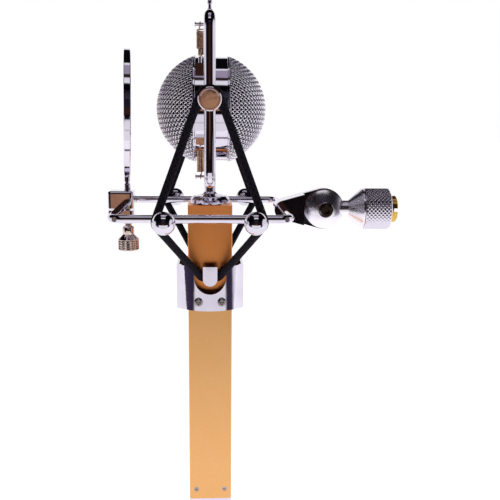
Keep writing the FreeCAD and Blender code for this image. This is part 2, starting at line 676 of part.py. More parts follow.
def make_capsule():
    """Two-sided capsule on a saddle post inside the band."""
    node(head_turned("capsule_body",
                     [("0", "0"), ("capsule_radius-1.2", "0"), ("capsule_radius", "1.2"),
                      ("capsule_radius", "2*capsule_half-1.2"), ("capsule_radius-1.2", "2*capsule_half"),
                      ("0", "2*capsule_half")], "-capsule_half"))
    node(group("diaphragms", [rod("diaphragm", "diaphragm_radius", "diaphragm_wall",
                                  x="%s + (%s)" % (HEAD_X, start), z="head_height", turn=ALONG_X)
                              for start in ("-capsule_half - diaphragm_wall", "capsule_half")]))
    post = block("capsule_post_blank", "7", "10", "band_bore", x=HEAD_X, z="head_height - band_bore")
    drum = rod("capsule_seat", "capsule_radius", "40", x=HEAD_X + " - 20", z="head_height", turn=ALONG_X)
    outside = rod("band_inside", "band_bore", "60", x=HEAD_X + " - 30", z="head_height", turn=ALONG_X)
    way = rod("post_lead_way", "lead_hole", "8", x=AXIS_X, z="head_height - band_radius - 3")
    fitted = cut("capsule_post_fit", post, join("capsule_post_ways", [drum, way]))
    node(shared("capsule_post", [fitted, outside]))


def make_spring_lugs():
    """Blocks on the band that the springs' inner loops hook on to."""
    band = rod("band_outside", "band_radius", "60", x=HEAD_X + " - 30", z="head_height", turn=ALONG_X)
    lugs = []
    for side, sign, turn in SIDES:
        base = block("lug_base", "5.4", "4.6", "7", x="-mic_offset - spring_x", y=sign + "spring_y_top",
                     z="spring_top_from - 13.5")
        eye = rod("lug_eye", "1.0", "4", x="-mic_offset - spring_x", y=sign + "spring_y_top",
                  z="spring_top_from - 7.2")
        lugs.append(cut("upper_lug", join("upper_lug_whole", [base, eye]), band))
        arm = block("lug_arm", "5", "5", "3.6", x="-mic_offset - spring_x", y=sign + "spring_y_low",
                    z="spring_low_to + 0.8")
        lugs.append(cut("lower_lug", arm, band))
    node(group("spring_lugs", lugs))


# ---- suspension frame ----

def make_frame():
    """Closed loop of rod: two long rods, two cross bars and four bent corners."""
    long_length = "frame_front - frame_back - 2*corner_bend"
    for side, sign, turn in SIDES:
        node(rod("frame_rod_" + side, "rod_radius", long_length,
                 x="-frame_front + corner_bend", y=sign + "frame_y", turn=ALONG_X))
    for end, position in (("front", "-frame_front"), ("back", "-frame_back")):
        node(rod("cross_bar_" + end, "rod_radius", "2*(frame_y - corner_bend)",
                 x=position, y="frame_y - corner_bend", turn=TO_NEAR))
    corners = []
    screws = []
    quadrants = [("-frame_front + corner_bend", "frame_y - corner_bend", 90, "+", TO_FAR),
                 ("-frame_front + corner_bend", "-frame_y + corner_bend", 180, "-", TO_NEAR),
                 ("-frame_back - corner_bend", "-frame_y + corner_bend", 270, "-", TO_NEAR),
                 ("-frame_back - corner_bend", "frame_y - corner_bend", 0, "+", TO_FAR)]
    for x, y, angle, sign, turn in quadrants:
        bend = primitive("Part::Torus", "corner_blank", {"Radius1": "corner_bend", "Radius2": "rod_radius"},
                         {"x": x, "y": y, "turn": Rotation(Vector(0, 0, 1), angle)})
        bend.Angle3 = 90
        outward = "-" if angle in (90, 180) else "+"
        screw = rod("corner_screw", "corner_screw", "2.0", x="%s %s corner_bend*0.6" % (x, outward),
                    y=sign + "(frame_y - 0.2)", turn=turn)
        corners.append(cut("frame_corner", bend, screw))
        screws.append(screw)
    node(group("frame_corners", corners))
    node(group("corner_screws", screws))


def make_ball_pegs():
    """Pegs that spread the elastic loops, each ending in a polished ball."""
    for side, sign, turn in SIDES:
        rod_solid = rod("peg_rod_way", "rod_radius", "80", x="-mic_offset - 40", y=sign + "frame_y",
                        turn=ALONG_X)
        for end, way in (("front", "-"), ("back", "+")):
            where = {"x": "-mic_offset %s ball_x" % way, "z": "0"}
            shank = rod("peg_shank", "peg_radius", "ball_y - frame_y", y=sign + "frame_y", turn=turn, **where)
            knob = ball("peg_ball", "ball_radius", y=sign + "ball_y", **where)
            whole = join("peg_whole", [shank, knob])
            node(cut("ball_peg_%s_%s" % (side, end), whole, rod_solid))


# ---- swivel between the frame and the stand ----

def arm_corners():
    """Straight-sided outline between the root and the eye, tangent to both."""
    reach = "(frame_back - hinge_back)"
    rise = "(arm_eye - arm_root)/%s" % reach
    run = "sqrt(1 - (%s)^2)" % rise
    eye_x, eye_z = "-(arm_eye*%s)" % rise, "arm_eye*%s" % run
    root_x, root_z = "-(%s + arm_root*%s)" % (reach, rise), "arm_root*%s" % run
    return [(root_x, "-(%s)" % root_z), (eye_x, "-(%s)" % eye_z), (eye_x, eye_z), (root_x, root_z)]


def make_swivel_arm():
    """Tapered arm brazed to the back cross bar; its eye is half as thick as the arm."""
    web = plate("arm_web", arm_corners(), "2*arm_half", "XZ_Plane", x="-hinge_back", y="arm_half")
    eye = rod("arm_eye_disc", "arm_eye", "2*arm_half", x="-hinge_back", y="arm_half", turn=TO_NEAR)
    root = rod("arm_root_disc", "arm_root", "2*arm_half", x="-frame_back", y="arm_half", turn=TO_NEAR)
    whole = join("arm_whole", [web, eye, root])
    near_half = block("arm_step", "60", "20", "60", x="-hinge_back - stud_relief + 30", y="-10 + eye_gap",
                      z="-30")
    bolt_way = rod("arm_bolt_way", "bolt_radius", "40", x="-hinge_back", y="20", turn=TO_NEAR)
    bar_way = rod("arm_bar_way", "rod_radius", "40", x="-frame_back", y="20", turn=TO_NEAR)
    node(cut("swivel_arm", whole, join("arm_ways", [near_half, bolt_way, bar_way])))


def make_swivel_stud():
    """Half-thick eye, neck and cone, with a shank that carries the stand nut."""
    shaft = turned("stud_shaft",
                   [("0", "0"), ("neck_radius", "0"), ("neck_radius", "hinge_back - cone_from"),
                    ("cone_radius", "hinge_back - nut_back - 1.0"),
                    ("cone_radius", "hinge_back - nut_back - 0.1"),
                    ("neck_radius", "hinge_back - nut_back - 0.1"),
                    ("neck_radius", "hinge_back - nut_back + nut_web + 0.1"),
                    ("0", "hinge_back - nut_back + nut_web + 0.1")],
                   x="-hinge_back", turn=ALONG_X)
    disc = rod("stud_eye_disc", "stud_eye", "arm_half - eye_gap", x="-hinge_back", y="-eye_gap", turn=TO_NEAR)
    crown = ball("stud_eye_crown", "stud_crown", x="-hinge_back", y="stud_crown - arm_half", turn=TO_NEAR)
    eye = shared("stud_eye", [disc, crown])
    relief = rod("stud_far_relief", "stud_relief", "30", x="-hinge_back", y="-eye_gap", turn=TO_FAR)
    bolt_way = rod("stud_bolt_way", "bolt_radius + run_gap", "40", x="-hinge_back", y="20", turn=TO_NEAR)
    screw_way = rod("stud_screw_way", "2", "8", x="-nut_back + nut_web + 0.1", turn=ALONG_BACK_X)
    whole = join("stud_whole", [shaft, eye])
    node(cut("swivel_stud", whole, join("stud_ways", [relief, bolt_way, screw_way])))
    node(turned("stud_retainer",
                [("0", "0"), ("2", "0"), ("2", "8"), ("insert_radius - 0.6", "8"), ("insert_radius - 0.6", "9.6"),
                 ("2.2", "9.6"), ("2.0", "8.8"), ("0", "8.8")],
                x="-nut_back + nut_web + 0.1 - 8", turn=ALONG_X))


def make_swivel_bolt():
    """Socket-head bolt through both eyes, a washer under its head and a nut behind."""
    head = "(arm_half + 1.6)"
    bolt = turned("swivel_bolt",
                  [("0", "0"), ("bolt_radius", "0"), ("bolt_radius", "arm_half + 3.6 + %s" % head),
                   ("3.4", "arm_half + 3.6 + %s" % head), ("3.4", "arm_half + 7.2 + %s" % head),
                   ("3.0", "arm_half + 7.6 + %s" % head), ("1.7", "arm_half + 7.6 + %s" % head),
                   ("1.7", "arm_half + 5.2 + %s" % head), ("0", "arm_half + 5.2 + %s" % head)],
                  x="-hinge_back", y="arm_half + 3.6", turn=TO_NEAR)
    node(bolt)
    washer = turned("swivel_washer", tube_profile("bolt_radius", "4.7", "1.5"),
                    x="-hinge_back", y="-arm_half - 0.1", turn=TO_NEAR)
    rounded(washer, "0.5", circle_at("4.7", "1.5"))
    node(washer)
    hexagon = doc.addObject("Part::Prism", "nut_hexagon")
    hexagon.Polygon = 6
    hexagon.setExpression("Circumradius", bound("bolt_radius*1.9"))
    hexagon.setExpression("Height", bound("3.4"))
    place(hexagon, x="-hinge_back", y="arm_half", turn=TO_FAR)
    way = rod("nut_way", "bolt_radius", "12", x="-hinge_back", y="arm_half - 2", turn=TO_FAR)
    node(cut("swivel_nut", hexagon, way))


def make_stand_nut():
    """Knurled nut that turns on the stud's shank, with the slotted thread insert in its mouth."""
    length = "nut_back - nut_front - 0.1"
    nut = turned("stand_nut",
                 [("neck_radius + run_gap", "0"), ("nut_radius - 1.0", "0"), ("nut_radius", "1.0"),
                  ("nut_radius", "%s - 1.0" % length), ("nut_radius - 1.0", length),
                  ("insert_radius", length), ("insert_radius", "nut_web"),
                  ("neck_radius + run_gap", "nut_web")],
                 x="-nut_back + 0.1 - 0.05", turn=ALONG_X)
    node(nut)
    insert = turned("insert_blank",
                    [("insert_bore", "0"), ("insert_radius", "0"), ("insert_radius", "insert_length - 0.6"),
                     ("insert_radius - 0.6", "insert_length"), ("insert_bore", "insert_length")],
                    x="-insert_length", turn=ALONG_X)
    slot = block("insert_slot", "5", "3*insert_radius", "2.3", z="-1.15")
    node(cut("thread_insert", insert, slot))


# ---- pop filter on its clamp ----

def make_pop_clamp():
    """Two jaws closed round the front cross bar by the thumbscrew."""
    middle = "-clamp_front + clamp_length/2"
    upper = plate("clamp_upper_blank", square_corners("clamp_length", "2*clamp_half"),
                  "clamp_top - clamp_split", x=middle, z="clamp_split")
    rounded(upper, "2.0", upright_edge)
    rounded(upper, "1.6", lambda edge: edge.BoundBox.ZMin > number("clamp_top - clamp_split") - 0.01)
    lower = plate("clamp_lower_blank", square_corners("clamp_length", "2*clamp_half"),
                  "jaw_bottom - clamp_split", x=middle, z="-jaw_bottom")
    rounded(lower, "2.0", upright_edge)
    rounded(lower, "0.9", lambda edge: edge.BoundBox.ZMax < 0.01)
    bar_way = rod("clamp_bar_way", "rod_radius + run_gap", "60", x="-frame_front", y="30", turn=TO_NEAR)
    thread_way = rod("clamp_thread_way", "thumb_thread + run_gap", "jaw_bottom + 5", x="-stem_x",
                     z="-jaw_bottom - 2")
    stem_way = rod("clamp_stem_way", "stem_radius + run_gap", "20", x="-stem_x", z="stem_foot - 0.1")
    node(cut("pop_clamp_block", upper, join("clamp_block_ways", [bar_way, thread_way, stem_way])))
    node(cut("pop_clamp_jaw", lower, join("clamp_jaw_ways", [bar_way, thread_way])))


def make_thumbscrew():
    node(turned("pop_thumbscrew",
                [("0", "0"), ("thumb_radius-0.6", "0"), ("thumb_radius", "0.6"), ("thumb_radius", "6.6"),
                 ("thumb_neck", "9.2"), ("thumb_neck", "13.8"), ("thumb_shank", "14.4"),
                 ("thumb_shank", "thumb_bottom - jaw_bottom - 0.1"),
                 ("thumb_thread", "thumb_bottom - jaw_bottom - 0.1"), ("thumb_thread", "thumb_bottom + 2.6"),
                 ("0", "thumb_bottom + 2.6")],
                x="-stem_x", z="-thumb_bottom"))


def make_pop_filter():
    """Hoop on a turned stem, holding two round wire screens."""
    yawed = Rotation(Vector(0, 0, 1), number("hoop_yaw"))
    leaning = yawed.multiply(Rotation(Vector(0, 1, 0), number("hoop_lean")))
    across = leaning.multiply(ALONG_X)
    hoop_axis = leaning.multVec(Vector(1, 0, 0))
    upright = leaning.multVec(Vector(0, 0, 1))
    stem_top = "hoop_height - hoop_radius + hoop_wall/2"
    stem = turned("pop_stem_blank",
                  [("0", "0"), ("stem_radius", "0"), ("stem_radius", "clamp_top - stem_foot + 3.4"),
                   ("stem_radius*0.7", "clamp_top - stem_foot + 4.0"),
                   ("stem_radius*0.7", "clamp_top - stem_foot + 4.8"),
                   ("stem_radius", "clamp_top - stem_foot + 5.4"), ("stem_radius", "%s - stem_foot" % stem_top),
                   ("0", "%s - stem_foot" % stem_top)],
                  x="-stem_x", z="stem_foot")

    def on_hoop(from_middle):
        return {"x": "-stem_x + hoop_radius*%.6f + (%s)*%.6f" % (upright.x, from_middle, hoop_axis.x),
                "y": "hoop_radius*%.6f + (%s)*%.6f" % (upright.y, from_middle, hoop_axis.y),
                "z": "hoop_height - hoop_radius*%.6f + (%s)*%.6f" % (1 - upright.z, from_middle, hoop_axis.z),
                "turn": across}
    solid_hoop = rod("hoop_solid", "hoop_radius", "6*hoop_half", **on_hoop("-3*hoop_half"))
    node(cut("pop_stem", stem, solid_hoop))
    hoop = turned("pop_hoop", tube_profile("hoop_radius - hoop_wall", "hoop_radius", "2*hoop_half"),
                  **on_hoop("-hoop_half"))
    node(rounded(hoop, "0.5", lambda edge: isinstance(edge.Curve, Part.Circle) and
                 edge.Curve.Radius > number("hoop_radius") - 0.01))
    node(group("pop_screens", [rod("pop_screen", "hoop_radius - hoop_wall", "screen_wall", **on_hoop(start))
                               for start in ("-screen_gap - screen_wall", "screen_gap")]))


for make in (make_stand_nut, make_swivel_stud, make_swivel_arm, make_swivel_bolt, make_frame, make_ball_pegs,
             make_body_tube, make_end_cap, make_connector, make_end_screws, make_electronics,
             make_dome_base, make_head_ring, make_ring_finial, make_yoke_pins, make_clamp_collar,
             make_collar_screws, make_elastic_loops, make_spring_pegs, make_springs, make_capsule_lead,
             make_head_shell, make_grilles, make_capsule, make_spring_lugs,
             make_pop_clamp, make_thumbscrew, make_pop_filter):
    make()
doc.recompute()

for piece in doc.Objects:
    if "Invalid" in piece.State or "Error" in piece.State:
        raise RuntimeError("%s could not be built: %s" % (piece.Label, piece.State))
os.makedirs("parts", exist_ok=True)
for piece in nodes:
    if piece.Shape.isNull() or not piece.Shape.isValid() or not piece.Shape.Solids:
        raise RuntimeError("%s has no valid solid" % piece.Label)
    piece.Shape.exportStep("parts/%s.step" % piece.Label)
print(len(nodes), "nodes")
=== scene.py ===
"""Looks of a condenser microphone in its elastic suspension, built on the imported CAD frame.

Metres.  +X points out of the stand thread, +Z up along the microphone, -Y towards the viewer.
"""

import math

import bmesh
import bpy
import numpy as np
from mathutils import Matrix, Vector


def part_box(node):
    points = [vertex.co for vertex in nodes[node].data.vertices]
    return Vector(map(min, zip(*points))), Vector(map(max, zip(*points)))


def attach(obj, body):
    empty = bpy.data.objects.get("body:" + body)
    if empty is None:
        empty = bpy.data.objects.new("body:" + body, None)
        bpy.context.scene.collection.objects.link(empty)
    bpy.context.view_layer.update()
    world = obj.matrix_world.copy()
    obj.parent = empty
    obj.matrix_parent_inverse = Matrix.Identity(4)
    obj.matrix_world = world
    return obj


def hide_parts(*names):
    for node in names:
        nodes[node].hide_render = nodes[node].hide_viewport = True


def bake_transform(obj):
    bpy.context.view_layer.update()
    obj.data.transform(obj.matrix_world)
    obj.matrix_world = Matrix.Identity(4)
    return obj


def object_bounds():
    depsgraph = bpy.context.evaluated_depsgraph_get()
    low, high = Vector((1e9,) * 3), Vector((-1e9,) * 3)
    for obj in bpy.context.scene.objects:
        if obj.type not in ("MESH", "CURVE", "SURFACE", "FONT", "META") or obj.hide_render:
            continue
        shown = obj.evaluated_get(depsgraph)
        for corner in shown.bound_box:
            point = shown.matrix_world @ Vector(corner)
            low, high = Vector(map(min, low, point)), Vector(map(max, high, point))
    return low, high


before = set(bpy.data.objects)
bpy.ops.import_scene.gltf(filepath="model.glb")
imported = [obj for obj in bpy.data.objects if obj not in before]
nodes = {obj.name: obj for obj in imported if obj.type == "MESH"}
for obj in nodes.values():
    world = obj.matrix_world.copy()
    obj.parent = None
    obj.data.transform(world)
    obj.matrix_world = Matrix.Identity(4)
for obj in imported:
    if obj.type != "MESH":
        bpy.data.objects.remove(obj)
cad_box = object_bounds()

MM = 0.001
CAMERA_PLACE = (-0.10915, -0.39973, 0.05216)
CAMERA_PITCH = math.radians(10.895)
CAMERA_YAW = math.radians(3.296)
CAMERA_ROLL = math.radians(0.555)
CAMERA_LENS = 49.34
FLOOR_DROP = 0.075
FLOOR_NEAR = -0.3
FLOOR_FAR = 9
FLOOR_HALF = 6

WEAVE_PITCH = 1.9 * MM
WEAVE_WIRE = 0.35 * MM
WEAVE_LIFT = 0.24 * MM
SCREEN_PITCH = 1.5 * MM
SCREEN_WIRE = 0.16 * MM
SCREEN_LIFT = 0.12 * MM
SCREEN_GAP = 0.9 * MM
HOOP_YAW = math.radians(6.9)
HOOP_LEAN = math.radians(1.3)
SPRING_WIRE = 0.31 * MM
SPRING_COIL = 2.05 * MM
SPRING_PITCH = 2.06 * SPRING_WIRE
SPRING_OPEN_PITCH = 3.6 * SPRING_WIRE
SPRING_STEPS = 16
LUG_EYE = 1.4 * MM
PEG_RADIUS = 0.8 * MM
PEG_HEAD = 1.2 * MM
CORD_RADIUS = 2.15 * MM


# ---- finding places on the CAD model ----

def low(node):
    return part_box(node)[0]


def high(node):
    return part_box(node)[1]


def middle(node):
    return (low(node) + high(node)) / 2


MIC = middle("body_tube")
PIN_HEIGHT = middle("yoke_pin_near").z
RING_TUBE = (high("head_ring").x - low("head_ring").x) / 2
HEAD = Vector((middle("head_band").x, 0, middle("head_band").z))
BAND_HALF = high("band_rim_back").x - HEAD.x
GRILLE_RADIUS = high("grille_back").x - HEAD.x
# Height where the gold changes to the painted shade of the upper tube
PAINTED_SHADE_LINE = middle("clamp_collar").z


# ---- shaders ----

def linear(colour):
    """sRGB hex such as "#c8a060" as linear red, green, blue, alpha."""
    parts = [int(colour[start:start + 2], 16) / 255 for start in (1, 3, 5)]
    return [p / 12.92 if p <= 0.04045 else ((p + 0.055) / 1.055) ** 2.4 for p in parts] + [1.0]


def per_mm(size):
    """Texture scale that gives one repeat in this many millimetres."""
    return 1 / (size * MM)


def add(tree, kind, inputs=None, stops=None, **settings):
    """Add a shader node with its settings; an input is a value or another node's output."""
    made = tree.nodes.new(kind)
    for name, value in settings.items():
        setattr(made, name, value)
    for socket, value in (inputs or {}).items():
        if isinstance(value, bpy.types.NodeSocket):
            tree.links.new(value, made.inputs[socket])
        else:
            made.inputs[socket].default_value = value
    for index, (position, colour) in enumerate(stops or []):
        ramp = made.color_ramp.elements
        stop = ramp[index] if index < 2 else ramp.new(position)
        stop.position = position
        stop.color = linear(colour)
    return made


def surface(name, **sockets):
    """A material with one Principled shader; sockets that are the same all over are set here."""
    made = bpy.data.materials.new(name)
    made.use_nodes = True
    tree = made.node_tree
    shader = tree.nodes["Principled BSDF"]
    for socket, value in sockets.items():
        shader.inputs[socket.replace("_", " ")].default_value = value
    return made, tree, shader


def place_on(tree):
    return add(tree, "ShaderNodeTexCoord").outputs["Object"]


def polished(name, tint, worn, roughness=0.03, rougher=0.10, wave=0.00003, scratch=0.0000012):
    """Plated or polished metal: slow ripple of the plating, hairline polishing marks, faint handling haze."""
    made, tree, shader = surface(name, Metallic=1.0)
    where = place_on(tree)
    haze = add(tree, "ShaderNodeTexNoise", {"Vector": where, "Scale": per_mm(14), "Detail": 5.0})
    tone = add(tree, "ShaderNodeValToRGB", {"Fac": haze.outputs["Fac"]}, stops=[(0.35, tint), (0.75, worn)])
    gloss = add(tree, "ShaderNodeMapRange", {"Value": haze.outputs["Fac"], "From Min": 0.3, "From Max": 0.75,
                                             "To Min": roughness, "To Max": rougher})
    ripple = add(tree, "ShaderNodeTexNoise", {"Vector": where, "Scale": per_mm(4.5), "Detail": 1.0})
    waved = add(tree, "ShaderNodeBump", {"Height": ripple.outputs["Fac"], "Strength": 0.6, "Distance": wave})
    hairs = add(tree, "ShaderNodeMapping", {"Vector": where, "Scale": (1.0, 1.0, 9.0)})
    marks = add(tree, "ShaderNodeTexNoise", {"Vector": hairs.outputs["Vector"], "Scale": per_mm(1.1),
                                             "Detail": 3.0})
    bump = add(tree, "ShaderNodeBump", {"Height": marks.outputs["Fac"], "Strength": 0.4, "Distance": scratch,
                                        "Normal": waved.outputs["Normal"]})
    tree.links.new(tone.outputs["Color"], shader.inputs["Base Color"])
    tree.links.new(gloss.outputs["Result"], shader.inputs["Roughness"])
    tree.links.new(bump.outputs["Normal"], shader.inputs["Normal"])
    return made


def bright_chrome():
    """Decorative chrome plate over polished brass: mirror reflections with a faint cool lilac cast."""
    return polished("bright_chrome", "#dcd7e3", "#d0cadb", 0.03, 0.08)


def satin_chrome():
    """Plating over a fine-blasted swivel and nut: soft lavender reflections that blur into each other."""
    return polished("satin_chrome", "#f4f0f8", "#e6e0ee", 0.20, 0.28, 0.00002, 0.0000003)


def nickel():
    """Bright nickel on the pop filter: as sharp as chrome but warmer, with a straw cast."""
    return polished("nickel", "#d8c6c0", "#c0aaa4", 0.08, 0.18)


def zinc_steel():
    """Zinc-plated screws: pale bluish metal, a little cloudy."""
    return polished("zinc_steel", "#b4acae", "#8e8487", 0.14, 0.28)


def spring_wire():
    """Drawn nickel-plated spring wire: bright crests on each coil, slightly brown in the gaps."""
    return polished("spring_wire", "#d0aa8e", "#94705a", 0.14, 0.26)


def grille_wire():
    """Nickel-plated woven wire: each crossing catches the light, lilac grey between."""
    return polished("grille_wire", "#faf7ff", "#e0daea", 0.10, 0.2)


def gold_plate():
    """Gold plate on the thread adapter: deep yellow mirror with soft handling marks."""
    return polished("gold_plate", "#ffc64a", "#f0a92c", 0.10, 0.22)


def brass():
    """Turned brass inside the connector and posts: yellow, with fine lathe marks."""
    return polished("brass", "#e2bd63", "#c79a45", 0.16, 0.30)


def dark_steel():
    """Blackened steel socket screw: near-black with a brown oil film on its edges."""
    return polished("dark_steel", "#4c3a33", "#2a1e1b", 0.22, 0.38)


def transformer_can():
    """Tin-plated shield can: soft grey metal with wide rolling marks."""
    return polished("transformer_can", "#bdbcba", "#a3a2a1", 0.28, 0.42)


def gold_film():
    """Gold-sputtered film of the capsule: thin, bright and slightly rippled."""
    return polished("gold_film", "#f2c777", "#dca855", 0.12, 0.2, 0.0001)


def gold_satin():
    """Bead-blasted, gold-anodised aluminium: even satin glow, fine grain, and painted shade: a deeper, redder
    orange on the tube above the collar, a paler one below.
    """
    made, tree, shader = surface("gold_satin", Metallic=1.0)
    where = place_on(tree)
    grain = add(tree, "ShaderNodeTexNoise", {"Vector": where, "Scale": per_mm(0.5), "Detail": 3.0})
    cloud = add(tree, "ShaderNodeTexNoise", {"Vector": where, "Scale": per_mm(30), "Detail": 4.0})
    mixed = add(tree, "ShaderNodeMath", {0: cloud.outputs["Fac"], 1: grain.outputs["Fac"]},
                operation="MULTIPLY")
    # Painted shade: a paler orange for the lower tube and a deeper, redder copy for the tube above the collar,
    # standing in for how the light falls on them
    lit_and_shaded_tones = [add(tree, "ShaderNodeValToRGB", {"Fac": mixed.outputs["Value"]},
                 stops=[(0.12, dull), (0.42, bright)])
             for dull, bright in (("#e9ae70", "#f1ba80"), ("#ee9450", "#f79f5c"))]
    height = add(tree, "ShaderNodeSeparateXYZ", {"Vector": where}).outputs["Z"]
    upper = add(tree, "ShaderNodeMapRange", {"Value": height, "From Min": PAINTED_SHADE_LINE - 6 * MM,
                                             "From Max": PAINTED_SHADE_LINE})
    tone = add(tree, "ShaderNodeMix", {"Factor": upper.outputs["Result"], "A": lit_and_shaded_tones[0].outputs["Color"],
                                       "B": lit_and_shaded_tones[1].outputs["Color"]}, data_type="RGBA")
    gloss = add(tree, "ShaderNodeMapRange", {"Value": mixed.outputs["Value"], "From Min": 0.1, "From Max": 0.45,
                                             "To Min": 0.32, "To Max": 0.40})
    bump = add(tree, "ShaderNodeBump", {"Height": grain.outputs["Fac"], "Strength": 0.35, "Distance": 0.00003})
    tree.links.new(tone.outputs["Result"], shader.inputs["Base Color"])
    tree.links.new(gloss.outputs["Result"], shader.inputs["Roughness"])
    tree.links.new(bump.outputs["Normal"], shader.inputs["Normal"])
    return made


def black_elastic():
    """Braided cover of the elastic: matt black yarn in a slanting two-way braid with a soft sheen."""
    made, tree, shader = surface("black_elastic", Specular_IOR_Level=0.12, Sheen_Weight=0.05,
                                 Sheen_Roughness=0.5, Sheen_Tint=linear("#8b8799"))
    along = add(tree, "ShaderNodeUVMap", uv_map="cord").outputs["UV"]
    yarns = []
    for lean in (1, -1):
        turned_way = add(tree, "ShaderNodeMapping", {"Vector": along,
                                                     "Rotation": (0, 0, lean * math.radians(52))})
        yarns.append(add(tree, "ShaderNodeTexWave", {"Vector": turned_way.outputs["Vector"], "Scale": per_mm(7),
                                                     "Distortion": 0.6, "Detail": 1.0}, wave_type="BANDS"))
    braid = add(tree, "ShaderNodeMath", {0: yarns[0].outputs["Fac"], 1: yarns[1].outputs["Fac"]},
                operation="MAXIMUM")
    fluff = add(tree, "ShaderNodeTexNoise", {"Vector": place_on(tree), "Scale": per_mm(0.7), "Detail": 4.0})
    tone = add(tree, "ShaderNodeValToRGB", {"Fac": braid.outputs["Value"]},
               stops=[(0.2, "#06050a"), (0.95, "#18141e")])
    gloss = add(tree, "ShaderNodeMapRange", {"Value": fluff.outputs["Fac"], "To Min": 0.62, "To Max": 0.9})
    bump = add(tree, "ShaderNodeBump", {"Height": braid.outputs["Value"], "Strength": 0.8, "Distance": 0.00022})
    fine = add(tree, "ShaderNodeBump", {"Height": fluff.outputs["Fac"], "Strength": 0.3, "Distance": 0.0001,
                                        "Normal": bump.outputs["Normal"]})
    tree.links.new(tone.outputs["Color"], shader.inputs["Base Color"])
    tree.links.new(gloss.outputs["Result"], shader.inputs["Roughness"])
    tree.links.new(fine.outputs["Normal"], shader.inputs["Normal"])
    return made


def moulded(name, colour, speck, roughness, grain_mm, **sockets):
    """Moulded, painted or sleeved surface with a fine grain and slight colour change."""
    made, tree, shader = surface(name, **sockets)
    where = place_on(tree)
    grain = add(tree, "ShaderNodeTexNoise", {"Vector": where, "Scale": per_mm(grain_mm), "Detail": 4.0})
    tone = add(tree, "ShaderNodeValToRGB", {"Fac": grain.outputs["Fac"]}, stops=[(0.35, colour), (0.7, speck)])
    gloss = add(tree, "ShaderNodeMapRange", {"Value": grain.outputs["Fac"], "To Min": roughness,
                                             "To Max": roughness + 0.15})
    bump = add(tree, "ShaderNodeBump", {"Height": grain.outputs["Fac"], "Strength": 0.3, "Distance": 0.00005})
    tree.links.new(tone.outputs["Color"], shader.inputs["Base Color"])
    tree.links.new(gloss.outputs["Result"], shader.inputs["Roughness"])
    tree.links.new(bump.outputs["Normal"], shader.inputs["Normal"])
    return made


def black_nylon():
    """Moulded black nylon of the connector and capsule rim: dark, slightly glossy, fine grain."""
    return moulded("black_nylon", "#131316", "#1d1d21", 0.35, 0.6)


def board_laminate():
    """Glass-epoxy circuit board: green lacquer over a faint glass weave."""
    return moulded("board_laminate", "#1d5b3a", "#256b45", 0.3, 0.8, Coat_Weight=0.4)


def capacitor_sleeve():
    """Shrink sleeve on the capacitors: deep blue, softly glossy film."""
    return moulded("capacitor_sleeve", "#23386b", "#2c4580", 0.3, 1.5)


def lead_sleeve():
    """Silicone-sleeved lead: flexible, matt red-brown rubber."""
    return moulded("lead_sleeve", "#5c241d", "#6e2c22", 0.5, 0.5)


def fine_mesh():
    """Fine woven liner behind the grille, oxidised dark: a tight square cloth of wire 0.8 mm apart."""
    made, tree, shader = surface("fine_mesh", Metallic=0.6)
    where = place_on(tree)
    wires = []
    for lean in (45, -45):
        turned_way = add(tree, "ShaderNodeMapping", {"Vector": where, "Rotation": (math.radians(lean), 0, 0)})
        wires.append(add(tree, "ShaderNodeTexWave", {"Vector": turned_way.outputs["Vector"],
                                                     "Scale": per_mm(0.8) / 20}, bands_direction="Z"))
    cloth = add(tree, "ShaderNodeMath", {0: wires[0].outputs["Fac"], 1: wires[1].outputs["Fac"]},
                operation="MAXIMUM")
    tone = add(tree, "ShaderNodeValToRGB", {"Fac": cloth.outputs["Value"]},
               stops=[(0.3, "#08070c"), (1.0, "#221d2d")])
    gloss = add(tree, "ShaderNodeMapRange", {"Value": cloth.outputs["Value"], "To Min": 0.6, "To Max": 0.4})
    bump = add(tree, "ShaderNodeBump", {"Height": cloth.outputs["Value"], "Strength": 0.6, "Distance": 0.0001})
    tree.links.new(tone.outputs["Color"], shader.inputs["Base Color"])
    tree.links.new(gloss.outputs["Result"], shader.inputs["Roughness"])
    tree.links.new(bump.outputs["Normal"], shader.inputs["Normal"])
    return made


FINISHES = {make.__name__: make() for make in (
    bright_chrome, satin_chrome, nickel, zinc_steel, spring_wire, grille_wire, gold_plate, brass, dark_steel,
    transformer_can, gold_film, gold_satin, black_elastic, black_nylon, board_laminate,
    capacitor_sleeve, lead_sleeve, fine_mesh)}


def finish_cad_nodes():
    """Give each CAD node the finish of its own material slot."""
    for name, node in nodes.items():
        for slot in node.material_slots:
            slot.material = FINISHES["satin_chrome" if name == "swivel_stud" else slot.material.name]


# ---- mesh tools ----

def piece_from(name, points, faces, finish, body=None):
    """A smooth-shaded mesh with its finish; it rides on a body when one is given."""
    mesh = bpy.data.meshes.new(name)
    mesh.from_pydata([tuple(point) for point in points], [], faces)
    mesh.materials.append(FINISHES[finish])
    mesh.polygons.foreach_set("use_smooth", [True] * len(mesh.polygons))
    piece = bpy.data.objects.new(name, mesh)
    bpy.context.scene.collection.objects.link(piece)
    if body:
        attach(piece, body)
    return piece


def rings_along(path, up, radius, sides, closed=False):
    """Points of the rings of a round tube; up is a direction near-square to the path at each point."""
    path = np.asarray(path, float)
    if closed:
        ahead = np.roll(path, -1, 0) - np.roll(path, 1, 0)
    else:
        ahead = np.gradient(path, axis=0)
    ahead /= np.linalg.norm(ahead, axis=1, keepdims=True)
    up = np.broadcast_to(np.asarray(up, float), path.shape)
    up = up - (up * ahead).sum(1, keepdims=True) * ahead
    up /= np.linalg.norm(up, axis=1, keepdims=True)
    across = np.cross(ahead, up)
    turn = np.linspace(0, 2 * math.pi, sides, endpoint=False)
    return (path[:, None] + radius * (np.cos(turn)[None, :, None] * up[:, None]
                                      + np.sin(turn)[None, :, None] * across[:, None]))


